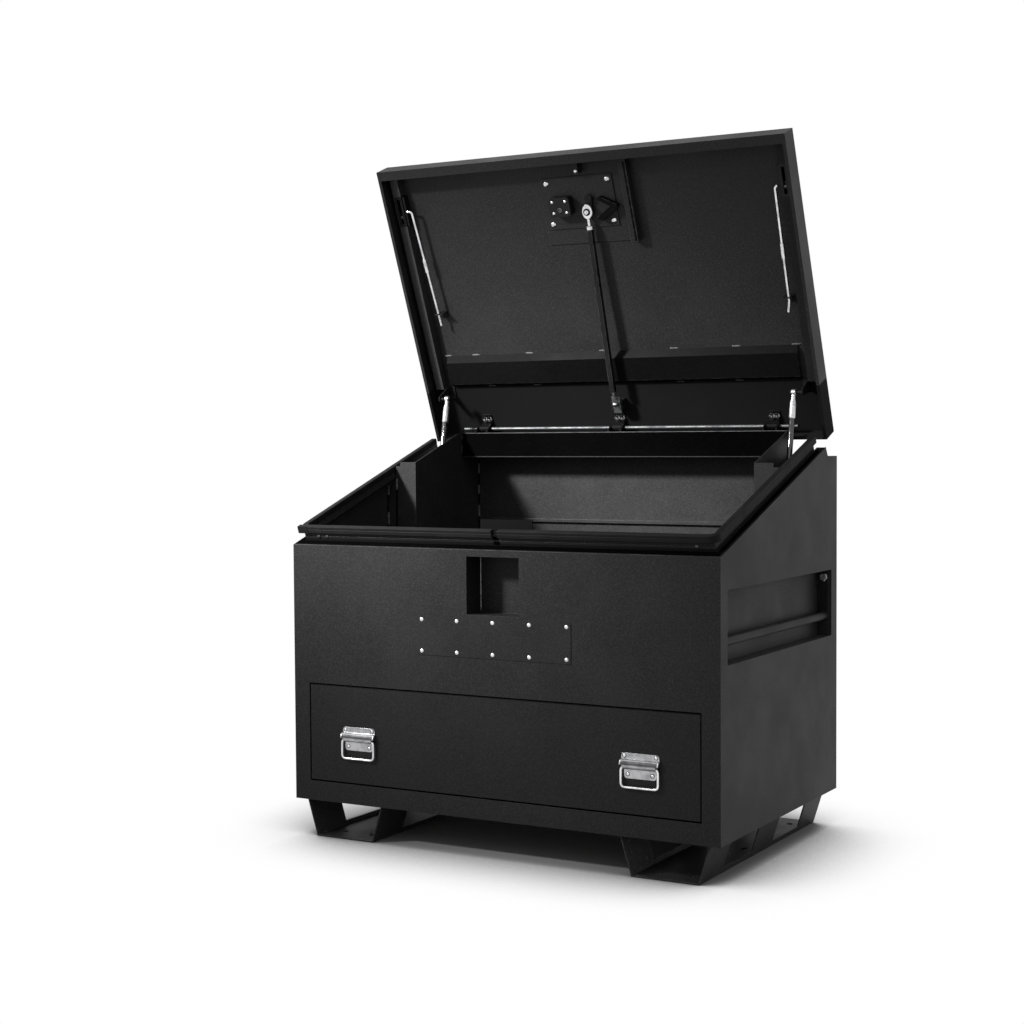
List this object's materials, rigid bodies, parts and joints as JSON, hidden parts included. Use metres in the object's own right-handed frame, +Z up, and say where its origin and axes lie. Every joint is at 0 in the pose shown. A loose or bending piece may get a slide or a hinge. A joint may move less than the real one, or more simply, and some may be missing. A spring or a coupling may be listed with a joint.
{
  "type": "jobsite storage box",
  "caption": "Steel jobsite storage box with a sloping lid held open on gas struts, a wide bottom drawer, side drop handles and two fork skids.",
  "frame": {"origin": "middle of the footprint of the whole box with its lid open, on the ground under the skids", "axes": "+Z up, +Y from the front of the box to its back, +X to the right as seen from the front"},
  "size_m": [1.2, 0.783, 1.7863],
  "materials": {
    "black_coat": "fine-textured black powder coat",
    "black_rubber": "matt rubber bulb",
    "black_plastic": "satin moulding",
    "black_gloss": "gloss black tube",
    "chrome": "bright plating",
    "zinc": "zinc-plated steel"
  },
  "bodies": {
    "base": {"front_panel": "black_coat", "side_panel_left": "black_coat", "side_panel_right": "black_coat", "back_panel": "black_coat", "bottom_panel": "black_coat", "compartment_floor": "black_coat", "rear_rim": "black_coat", "rim_seal": "black_rubber", "lock_well": "black_coat", "name_plate": "black_coat", "side_pocket_left": "black_coat", "side_pocket_right": "black_coat", "skid_left": "black_coat", "skid_right": "black_coat", "strut_guard_left": "black_coat", "strut_guard_right": "black_coat", "hinge_rod": "zinc", "hinge_bracket_left": "black_coat", "hinge_bracket_centre": "black_coat", "hinge_bracket_right": "black_coat", "drawer_runner_left": "zinc", "drawer_runner_right": "zinc"},
    "lid": {"lid_pan": "black_coat", "lid_channel_left": "black_coat", "lid_channel_right": "black_coat", "cross_member": "black_coat", "backing_plate": "black_coat", "lock_guide": "black_coat", "lock_plate": "black_coat", "lock_body": "black_plastic", "lever_stop": "black_coat", "bolt_guide": "black_coat", "striker": "black_coat", "latch_body_left": "black_plastic", "latch_body_right": "black_plastic", "rod_bracket_left": "black_coat", "rod_bracket_right": "black_coat", "strut_bracket_left": "black_coat", "strut_bracket_right": "black_coat", "hinge_ear_left": "zinc", "hinge_ear_centre": "zinc", "hinge_ear_right": "zinc"},
    "drawer": {"drawer_box": "black_coat", "handle_plate_left": "chrome", "handle_plate_right": "chrome"},
    "bail_left": {"handle_bail_left": "chrome"},
    "bail_right": {"handle_bail_right": "chrome"},
    "drop_handle_left": {"side_handle_left": "black_coat"},
    "drop_handle_right": {"side_handle_right": "black_coat"},
    "lock_lever": {"lock_handle": "zinc"},
    "lock_rod": {"push_rod": "black_coat"},
    "bolt": {"rear_bolt": "zinc"},
    "claw_left": {"latch_claw_left": "zinc"},
    "claw_right": {"latch_claw_right": "zinc"},
    "trigger_left": {"trigger_rod_left": "zinc"},
    "trigger_right": {"trigger_rod_right": "zinc"},
    "cylinder_left": {"strut_cylinder_left": "black_gloss"},
    "cylinder_right": {"strut_cylinder_right": "black_gloss"},
    "piston_left": {"strut_rod_left": "chrome"},
    "piston_right": {"strut_rod_right": "chrome"}
  },
  "joints": [
    {"name": "lid_hinge", "type": "hinge", "parent": "base", "child": "lid", "pos_m": [0, 0.3334, 1.05714], "axis": [1, 0, 0], "range_deg": [0, 87.5], "stiffness_Nm_per_rad": 20, "springref_deg": -171.89},
    {"name": "drawer_slide", "type": "slide", "parent": "base", "child": "drawer", "axis": [0, -1, 0], "range_m": [0, 0.55]},
    {"name": "bail_left_swing", "type": "hinge", "parent": "drawer", "child": "bail_left", "pos_m": [-0.398, -0.3855, 0.263], "axis": [-1, 0, 0], "range_deg": [0, 90]},
    {"name": "bail_right_swing", "type": "hinge", "parent": "drawer", "child": "bail_right", "pos_m": [0.398, -0.3855, 0.263], "axis": [-1, 0, 0], "range_deg": [0, 90]},
    {"name": "drop_handle_left_swing", "type": "hinge", "parent": "base", "child": "drop_handle_left", "pos_m": [-0.58, 0, 0.661], "axis": [0, 1, 0], "range_deg": [0, 90]},
    {"name": "drop_handle_right_swing", "type": "hinge", "parent": "base", "child": "drop_handle_right", "pos_m": [0.58, 0, 0.661], "axis": [0, -1, 0], "range_deg": [0, 90]},
    {"name": "lock_lever_turn", "type": "hinge", "parent": "lid", "child": "lock_lever", "pos_m": [0.0167, 0.115, 1.66676], "axis": [0, 0.9265, 0.3762], "range_deg": [0, 90]},
    {"name": "lock_rod_pivot", "type": "hinge", "parent": "lock_lever", "child": "lock_rod", "pos_m": [0.0097, 0.10756, 1.62661], "axis": [0, 0.9265, 0.3762], "range_deg": [-94, 0]},
    {"name": "bolt_slide", "type": "slide", "parent": "lid", "child": "bolt", "axis": [0, -0.3762, 0.9265], "range_m": [0, 0.042]},
    {"name": "trigger_left_slide", "type": "slide", "parent": "lid", "child": "trigger_left", "axis": [-0.049, -0.3758, 0.9254], "range_m": [0, 0.008]},
    {"name": "trigger_right_slide", "type": "slide", "parent": "lid", "child": "trigger_right", "axis": [0.0167, -0.3762, 0.9264], "range_m": [0, 0.008]},
    {"name": "claw_left_turn", "type": "hinge", "parent": "lid", "child": "claw_left", "pos_m": [-0.5702, 0.10481, 1.65291], "axis": [1, 0, 0], "range_deg": [0, 50.5]},
    {"name": "claw_right_turn", "type": "hinge", "parent": "lid", "child": "claw_right", "pos_m": [0.5702, 0.10481, 1.65291], "axis": [1, 0, 0], "range_deg": [0, 50.5]},
    {"name": "cylinder_left_pivot", "type": "hinge", "parent": "lid", "child": "cylinder_left", "pos_m": [-0.53, 0.26034, 1.14404], "axis": [-1, 0, 0], "range_deg": [0, 90.5]},
    {"name": "cylinder_right_pivot", "type": "hinge", "parent": "lid", "child": "cylinder_right", "pos_m": [0.53, 0.26034, 1.14404], "axis": [-1, 0, 0], "range_deg": [0, 90.5]},
    {"name": "piston_left_slide", "type": "slide", "parent": "cylinder_left", "child": "piston_left", "axis": [0, 0.1897, 0.9818], "range_m": [0, 0.1565]},
    {"name": "piston_right_slide", "type": "slide", "parent": "cylinder_right", "child": "piston_right", "axis": [0, 0.1897, 0.9818], "range_m": [0, 0.1565]}
  ],
  "couplings": [
    {"joint": "cylinder_left_pivot", "follows": "lid_hinge", "ratio": 1.0328},
    {"joint": "cylinder_right_pivot", "follows": "lid_hinge", "ratio": 1.0328},
    {"joint": "piston_left_slide", "follows": "lid_hinge", "m_per_rad": 0.10225},
    {"joint": "piston_right_slide", "follows": "lid_hinge", "m_per_rad": 0.10225},
    {"joint": "lock_rod_pivot", "follows": "lock_lever_turn", "ratio": -1.0324},
    {"joint": "bolt_slide", "follows": "lock_lever_turn", "m_per_rad": 0.02632},
    {"joint": "claw_left_turn", "follows": "trigger_left_slide", "rad_per_m": 109},
    {"joint": "claw_right_turn", "follows": "trigger_right_slide", "rad_per_m": 109}
  ]
}
